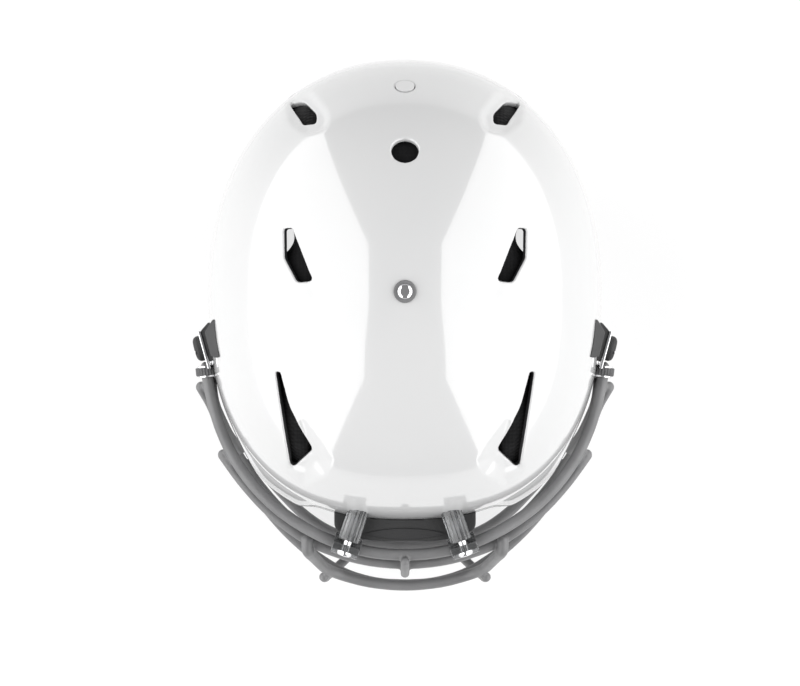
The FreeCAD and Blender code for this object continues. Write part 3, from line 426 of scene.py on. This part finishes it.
def keep_field(points):
    """Positive where the shell is kept; the distance to the nearest edge of an opening."""
    side = points[:, 1:3]
    field = -distance_to(SIDE_OUTLINE, side)
    mirrored = np.stack([-np.abs(points[:, 0]), points[:, 1]], 1)
    upper = points[:, 2] > VENT_ZONE
    for outline in (FRONT_VENT, MIDDLE_VENT, REAR_VENT):
        field = np.minimum(field, np.where(upper, distance_to(outline, mirrored), 1.0))
    for seat, direction, radius in round_holes():
        gap = points - seat
        along = gap @ direction
        away = np.linalg.norm(gap - along[:, None] * direction, axis=1) - radius
        field = np.minimum(field, np.where(np.abs(along) < HOLE_REACH, away, 1.0))
    ear = np.hypot(points[:, 1] - EAR_HOLE[0], points[:, 2] - EAR_HOLE[1]) - EAR_RADIUS
    return np.minimum(field, ear)


def dome_height(x, y):
    front = y < 0
    reach, power = (FRONT_REACH, FRONT_SQUARENESS) if front else (BACK_REACH, BACK_SQUARENESS)
    share = (abs(x / HALF_WIDTH) ** power + abs(y / reach) ** power) ** (1 / power)
    return EQUATOR + CROWN_RISE * math.sqrt(max(0.0, 1 - share * share))


def dome_normal(x, y):
    ahead, behind = dome_height(x, y + NORMAL_STEP), dome_height(x, y - NORMAL_STEP)
    slope_x = (dome_height(x + NORMAL_STEP, y) - dome_height(x - NORMAL_STEP, y)) / (2 * NORMAL_STEP)
    slope_y = (ahead - behind) / (2 * NORMAL_STEP)
    normal = np.array([-slope_x, -slope_y, 1.0])
    return normal / np.linalg.norm(normal)


def round_holes():
    """Seat, direction and radius of the drilled holes in the shell."""
    holes = [(np.array([0, 0, CROWN_Z]), np.array([0, 0, 1.0]), CROWN_HOLE_RADIUS)]
    for behind, radius in REAR_HOLES:
        holes.append((np.array([0, behind, dome_height(0, behind)]), dome_normal(0, behind), radius))
    return holes


def trimmed(grid, normals, field):
    """Cuts a closed-round grid along the zero of a field. Returns points, normals and faces."""
    rows, columns = field.shape
    flat_points, flat_normals, flat_field = grid.reshape(-1, 3), normals.reshape(-1, 3), field.ravel()
    points, outs, faces = [], [], []
    corner_ids, cut_ids = {}, {}

    def corner(index):
        if index not in corner_ids:
            corner_ids[index] = len(points)
            points.append(flat_points[index])
            outs.append(flat_normals[index])
        return corner_ids[index]

    def cut(inner, outer):
        share = flat_field[inner] / (flat_field[inner] - flat_field[outer])
        if share < 0.12:
            return corner(inner)
        key = (inner, outer)
        if key not in cut_ids:
            share = min(share, 0.999)
            cut_ids[key] = len(points)
            points.append(flat_points[inner] * (1 - share) + flat_points[outer] * share)
            blend = flat_normals[inner] * (1 - share) + flat_normals[outer] * share
            outs.append(blend / np.linalg.norm(blend))
        return cut_ids[key]

    kept = flat_field > 0
    for row in range(rows - 1):
        for column in range(columns):
            following = (column + 1) % columns
            quad = (row * columns + column, row * columns + following,
                    (row + 1) * columns + following, (row + 1) * columns + column)
            state = [kept[index] for index in quad]
            if not any(state):
                continue
            face = []
            for place in range(4):
                here, after = quad[place], quad[(place + 1) % 4]
                if state[place]:
                    face.append(corner(here))
                if state[place] != state[(place + 1) % 4]:
                    face.append(cut(here, after) if state[place] else cut(after, here))
            corners = [index for place, index in enumerate(face) if index != face[place - 1]]
            if len(corners) > 2:
                faces.append(corners)
    return np.array(points), np.array(outs), faces


def rim_neighbours(faces):
    """For each point on an open edge, the point after it and the point before it."""
    directed = dict.fromkeys((face[place - 1], index) for face in faces for place, index in enumerate(face))
    after = {start: end for start, end in directed if (end, start) not in directed}
    return after, {end: start for start, end in after.items()}


def lip_levels(base, outward, out):
    """Rings that carry the edge round from the outer face to the inner one, with both corners rounded."""
    turns = [math.radians(turn) for turn in (22.5, 45, 67.5, 90)]
    levels = []
    for turn in turns:
        levels.append(base + outward * LIP * math.sin(turn) - out * LIP * (1 - math.cos(turn)))
    for turn in reversed(turns):
        levels.append(base + outward * LIP * math.sin(turn) - out * (WALL - LIP * (1 - math.cos(turn))))
    return levels


def shell_mesh():
    """The shell with its outer and inner faces and a rounded lip round every opening."""
    grid = dome_grid()
    flat = grid.reshape(-1, 3)
    pressed = (flat - grid_normals(grid).reshape(-1, 3) * dents(flat)[:, None]).reshape(grid.shape)
    field = keep_field(pressed.reshape(-1, 3)) - LIP
    points, outs, faces = trimmed(pressed, grid_normals(pressed), field.reshape(grid.shape[:2]))
    after, before = rim_neighbours(faces)
    ring = list(after)
    order = {index: place for place, index in enumerate(ring)}
    ahead, behind = [after[index] for index in ring], [before[index] for index in ring]
    out = outs[ring]
    outward = np.cross(points[ahead] - points[behind], out)
    outward /= np.maximum(np.linalg.norm(outward, axis=1, keepdims=True), 1e-12)
    for _ in range(3):
        blended = outward + 0.5 * outward[[order[index] for index in ahead]]
        blended = blended + 0.5 * outward[[order[index] for index in behind]]
        outward = blended / np.linalg.norm(blended, axis=1, keepdims=True)
    base = points[ring]
    levels = lip_levels(base, outward, out)
    every = [points] + levels + [points - outs * WALL]
    starts = np.cumsum([0] + [len(block) for block in every]).tolist()
    inner_start = starts[len(levels) + 1]
    # Points on the rims of the side vents, whose walls take the painted shade.
    shaded_wall = (np.abs(base[:, 0]) > SHADED_WALL_AWAY) & (base[:, 2] > SHADED_WALL_ABOVE)

    def chain(index):
        rings = [starts[level + 1] + order[index] for level in range(len(levels))]
        return [index] + rings + [inner_start + index]

    # The faces of the vent walls that take the near-black painted shade.
    dark = []
    all_faces = [list(face) for face in faces]
    all_faces += [[inner_start + index for index in reversed(face)] for face in faces]
    for index in ring:
        here, following = chain(index), chain(after[index])
        for level in range(len(here) - 1):
            if shaded_wall[order[index]] and level >= FIRST_SHADED_LEVEL:
                dark.append(len(all_faces))
            all_faces.append([here[level], here[level + 1], following[level + 1], following[level]])
    stacked = np.concatenate(every)
    stacked[:, 1] += CROWN_Y
    return stacked, all_faces, dark


def make_shell():
    vertices, faces, dark = shell_mesh()
    shell = new_piece("white_shell", vertices, faces, SHELL_WHITE)
    # The second slot is the near-black painted shade on the vent walls.
    shell.data.materials.append(VENT_WALL_SHADE)
    for index in dark:
        shell.data.polygons[index].material_index = 1
    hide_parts("shell")
    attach(shell, "helmet")


# ---------------------------------------------------------------- face guard

def copied(names, piece_name):
    """One mesh made of copies of several CAD nodes."""
    build = bmesh.new()
    for name in names:
        build.from_mesh(frame["nodes"][name].data)
    mesh = bpy.data.meshes.new(piece_name)
    build.to_mesh(mesh)
    build.free()
    piece = bpy.data.objects.new(piece_name, mesh)
    bpy.context.scene.collection.objects.link(piece)
    return piece


GUARD_NODES = [name for name, slot in SLOTS.items() if slot == "guard"]


def softened(nodes, name, voxel, rounds, material):
    """Copies of CAD nodes as one moulded skin with its sharp edges and weld corners rounded."""
    piece = copied(nodes, name)
    modify(piece, "REMESH", mode="VOXEL", voxel_size=voxel * MM)
    modify(piece, "SMOOTH", factor=0.5, iterations=rounds)
    piece.data.shade_smooth()
    dress(piece, material)
    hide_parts(*nodes)
    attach(piece, "helmet")


# Each side moulding: the end of its node's name, the end of its piece's name, voxel, rounds and finish.
SIDE_MOULDINGS = (("_front_clip", "_bar_clip", 0.35, 4, SMOKED),
                  ("_clip_pad", "_backing_pad", 0.5, 3, BACKING_RUBBER),
                  ("_side_clip", "_strap_clip", 0.3, 3, CHROME))


def make_mouldings():
    """The dipped face guard, the rubber bumpers, and the clips, straps and backing pads of each side."""
    softened(GUARD_NODES, "face_guard", 0.75, 6, GUARD_COAT)
    softened(["front_bumper"], "nose_bumper", 0.6, 5, BUMPER_RUBBER)
    softened(["rear_bumper"], "nape_bumper", 0.7, 5, BUMPER_RUBBER)
    for side in ("right", "left"):
        for node_end, piece_end, voxel, rounds, finish in SIDE_MOULDINGS:
            softened([side + node_end], side + piece_end, voxel, rounds, finish)


# ---------------------------------------------------------------- ribbed and knurled fittings

def ribbed_barrel(name, span, radius, bore, ribs, depth, material, node):
    """A tube between two points whose outside is fluted along its length, with rounded rims."""
    start, end = Vector(span[0]), Vector(span[1])
    rim = BARREL_RIM
    heading = (end - start).normalized()
    turn = heading.to_track_quat("Z", "Y")
    length = (end - start).length
    steps = ribs * 8
    # Each point of the section: radius, distance along, and how much of the flute's depth it takes.
    shoulder = rim * 0.3
    profile = [(bore, 0.0, 0.0), (radius - rim, 0.0, 0.0), (radius - shoulder, shoulder, 0.5),
               (radius, rim, 1.0), (radius, length - rim, 1.0), (radius - shoulder, length - shoulder, 0.5),
               (radius - rim, length, 0.0), (bore, length, 0.0)]
    vertices, faces = [], []
    for step in range(steps):
        angle = 2 * math.pi * step / steps
        groove = depth * (0.5 - 0.5 * math.cos(ribs * angle))
        for reach, rise, share in profile:
            out = reach - groove * share
            vertices.append(start + turn @ Vector((out * math.cos(angle), out * math.sin(angle), rise)))
    count = len(profile)
    for step in range(steps):
        after = (step + 1) % steps
        for level in range(count):
            upper = (level + 1) % count
            faces.append((step * count + level, after * count + level,
                          after * count + upper, step * count + upper))
    piece = new_piece(name, vertices, faces, material)
    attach(piece, "helmet")
    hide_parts(node)


def span_along(node, axis, side):
    """Where a CAD node starts and ends along an axis, on one side of the helmet."""
    points = np.array([vertex.co for vertex in frame["nodes"][node].data.vertices])
    points = points[points[:, 0] * side > 0]
    axis = np.array(axis) / np.linalg.norm(axis)
    along = points @ axis
    middle = (points.min(0) + points.max(0)) / 2
    foot = middle - axis * (middle @ axis)
    return foot + axis * along.min(), foot + axis * along.max()


# The way each front clip screw points, on the right side.
CLIP_AXIS = (-0.3212, -0.9470, 0.0)
SPACER_SHORTENING = 0.12
BARREL_RIM = 0.6 * MM
# The collar on the brow bar's tip, on the left side: where it starts from the crown's axis, the way it
# runs and its length.
COLLAR_START, COLLAR_HEADING, COLLAR_LENGTH = (118.8, -45.2, 137.5), (-1.2, -9.8), 5.0 * MM


def make_barrels():
    """The fluted spacers under the front clips and the knurled collars on the brow bar's ends."""
    for side, label in ((-1, "right"), (1, "left")):
        axis = (-side * CLIP_AXIS[0], CLIP_AXIS[1], 0)
        inner, outer = span_along("front_clip_spacers", axis, side)
        outer = outer + (inner - outer) * SPACER_SHORTENING
        ribbed_barrel(label + "_fluted_spacer", (outer, inner), 6.4 * MM, 2.7 * MM, 9, 0.7 * MM, SMOKED,
                      "front_clip_spacers")
        ribbed_barrel(label + "_knurled_collar", collar_span(side), 6.6 * MM, 5.5 * MM, 22, 0.5 * MM,
                      GRIP_RUBBER, label + "_socket_grip")


def collar_span(side):
    """The ends of the collar round the brow bar's tip."""
    start = Vector((side * COLLAR_START[0], COLLAR_START[1], COLLAR_START[2])) * MM
    heading = Vector((side * COLLAR_HEADING[0], COLLAR_HEADING[1], 0.0)).normalized()
    start.y += CROWN_Y
    return start, start + heading * COLLAR_LENGTH


# ---------------------------------------------------------------- liner pads

PAD_NODES = [name for name, slot in SLOTS.items() if slot == "pad"]
PAD_VOXEL, PAD_SHRINK, PAD_SWELL = 5.0 * MM, 1.6 * MM, 3.2 * MM
SIM_FRAMES = 14
PAD_PRESSURE = 4.0


def make_pad(name):
    """A foam pad in a knit cover: the CAD solid pulled in a little, then puffed by cloth under pressure."""
    pad = copied([name], name + "_cover")
    modify(pad, "REMESH", mode="VOXEL", voxel_size=PAD_VOXEL)
    modify(pad, "SMOOTH", factor=0.5, iterations=3)
    mesh = pad.data
    start = np.empty(len(mesh.vertices) * 3)
    mesh.vertices.foreach_get("co", start)
    start = start.reshape(-1, 3)
    outward = np.empty(len(mesh.vertices) * 3)
    mesh.vertex_normals.foreach_get("vector", outward)
    start = start - outward.reshape(-1, 3) * PAD_SHRINK
    mesh.vertices.foreach_set("co", start.ravel())
    cloth = pad.modifiers.new("swell", "CLOTH")
    cloth.settings.use_pressure = True
    cloth.settings.uniform_pressure_force = PAD_PRESSURE
    cloth.settings.effector_weights.gravity = 0
    cloth.settings.quality = 4
    cloth.point_cache.frame_start = 1
    cloth.point_cache.frame_end = SIM_FRAMES
    scene = bpy.context.scene
    for number in range(1, SIM_FRAMES + 1):
        scene.frame_set(number)
    graph = bpy.context.evaluated_depsgraph_get()
    swollen = pad.evaluated_get(graph).to_mesh()
    end = np.empty(len(swollen.vertices) * 3)
    swollen.vertices.foreach_get("co", end)
    move = end.reshape(-1, 3) - start
    length = np.linalg.norm(move, axis=1, keepdims=True)
    move *= np.minimum(1.0, PAD_SWELL / np.maximum(length, 1e-9))
    pad.modifiers.clear()
    scene.frame_set(1)
    mesh.vertices.foreach_set("co", (start + move).ravel())
    mesh.update()
    modify(pad, "SUBSURF", levels=1, render_levels=1)
    pad.data.shade_smooth()
    dress(pad, PAD_KNIT)
    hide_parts(name)
    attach(pad, "helmet")


# ---------------------------------------------------------------- camera, floor and lights

CAMERA_HEIGHT = 1.70
SENSOR_WIDTH = 36.0
VIEW_SPAN = 480.0 * MM
# Where the crown sits off the middle of the view, as shares of the view's width.
CROWN_SHIFT = (-0.00625, -0.064375)


def make_camera():
    """Straight down on the crown, at the distance that gives the equator its size in the view."""
    data = bpy.data.cameras.new("camera")
    data.sensor_width = SENSOR_WIDTH
    data.lens = SENSOR_WIDTH * (CAMERA_HEIGHT - EQUATOR) / VIEW_SPAN
    data.shift_x, data.shift_y = CROWN_SHIFT
    data.clip_end = 20.0
    camera = bpy.data.objects.new("camera", data)
    camera.location = (0, CROWN_Y, CAMERA_HEIGHT)
    bpy.context.scene.collection.objects.link(camera)
    bpy.context.scene.camera = camera


FLOOR_HALF, FLOOR_GAP = 6.0, 0.5 * MM


def make_floor():
    """A pale floor that glows a little, so that it stays near white all round."""
    half = FLOOR_HALF
    corners = [(-half, -half, 0), (half, -half, 0), (half, half, 0), (-half, half, 0)]
    recipe = Recipe("floor_white", Roughness=0.9)
    recipe.link(recipe.ramp(recipe.noise(3.0, 2.0), [(0.3, (0.21, 0.21, 0.21)), (0.7, (0.23, 0.23, 0.23))]),
                recipe.shader.inputs["Base Color"])
    recipe.shader.inputs["Emission Color"].default_value = (1, 1, 1, 1)
    recipe.shader.inputs["Emission Strength"].default_value = FLOOR_GLOW
    floor = new_piece("floor", corners, [(0, 1, 2, 3)], recipe.material, smooth=False)
    floor.location.z = -FLOOR_GAP


# Each softbox is a leaning four-sided sheet; its corners are given from the crown's axis.
PANEL_CORNERS = [(0.51, -1.06, 1.67), (0.51, 0.50, 1.67), (1.72, 2.75, -0.02), (1.72, -3.75, -0.02)]
FLOOR_GLOW, PANEL_GLOW, WORLD_GLOW = 0.69, 2.85, 0.27


def make_lights():
    """Two large side softboxes that stop short of overhead, with nothing in front or behind."""
    recipe = Recipe("softbox_white", Roughness=0.8)
    recipe.shader.inputs["Base Color"].default_value = (0.1, 0.1, 0.1, 1)
    recipe.shader.inputs["Emission Color"].default_value = (1, 1, 1, 1)
    recipe.shader.inputs["Emission Strength"].default_value = PANEL_GLOW
    for side, name in ((-1, "right"), (1, "left")):
        corners = [(side * x, y + CROWN_Y, z) for x, y, z in PANEL_CORNERS]
        panel = new_piece("softbox_" + name, corners, [(0, 1, 2, 3)], recipe.material, smooth=False)
        panel.visible_camera = False
    world = bpy.data.worlds.new("studio")
    world.use_nodes = True
    background = world.node_tree.nodes["Background"]
    background.inputs["Color"].default_value = (1, 1, 1, 1)
    background.inputs["Strength"].default_value = WORLD_GLOW
    bpy.context.scene.world = world
    bpy.context.scene.view_settings.view_transform = "Standard"


make_camera()
make_floor()
make_lights()
for node_name in frame["nodes"]:
    finish_node(node_name)
make_shell()
make_mouldings()
make_barrels()
for pad_name in PAD_NODES:
    make_pad(pad_name)
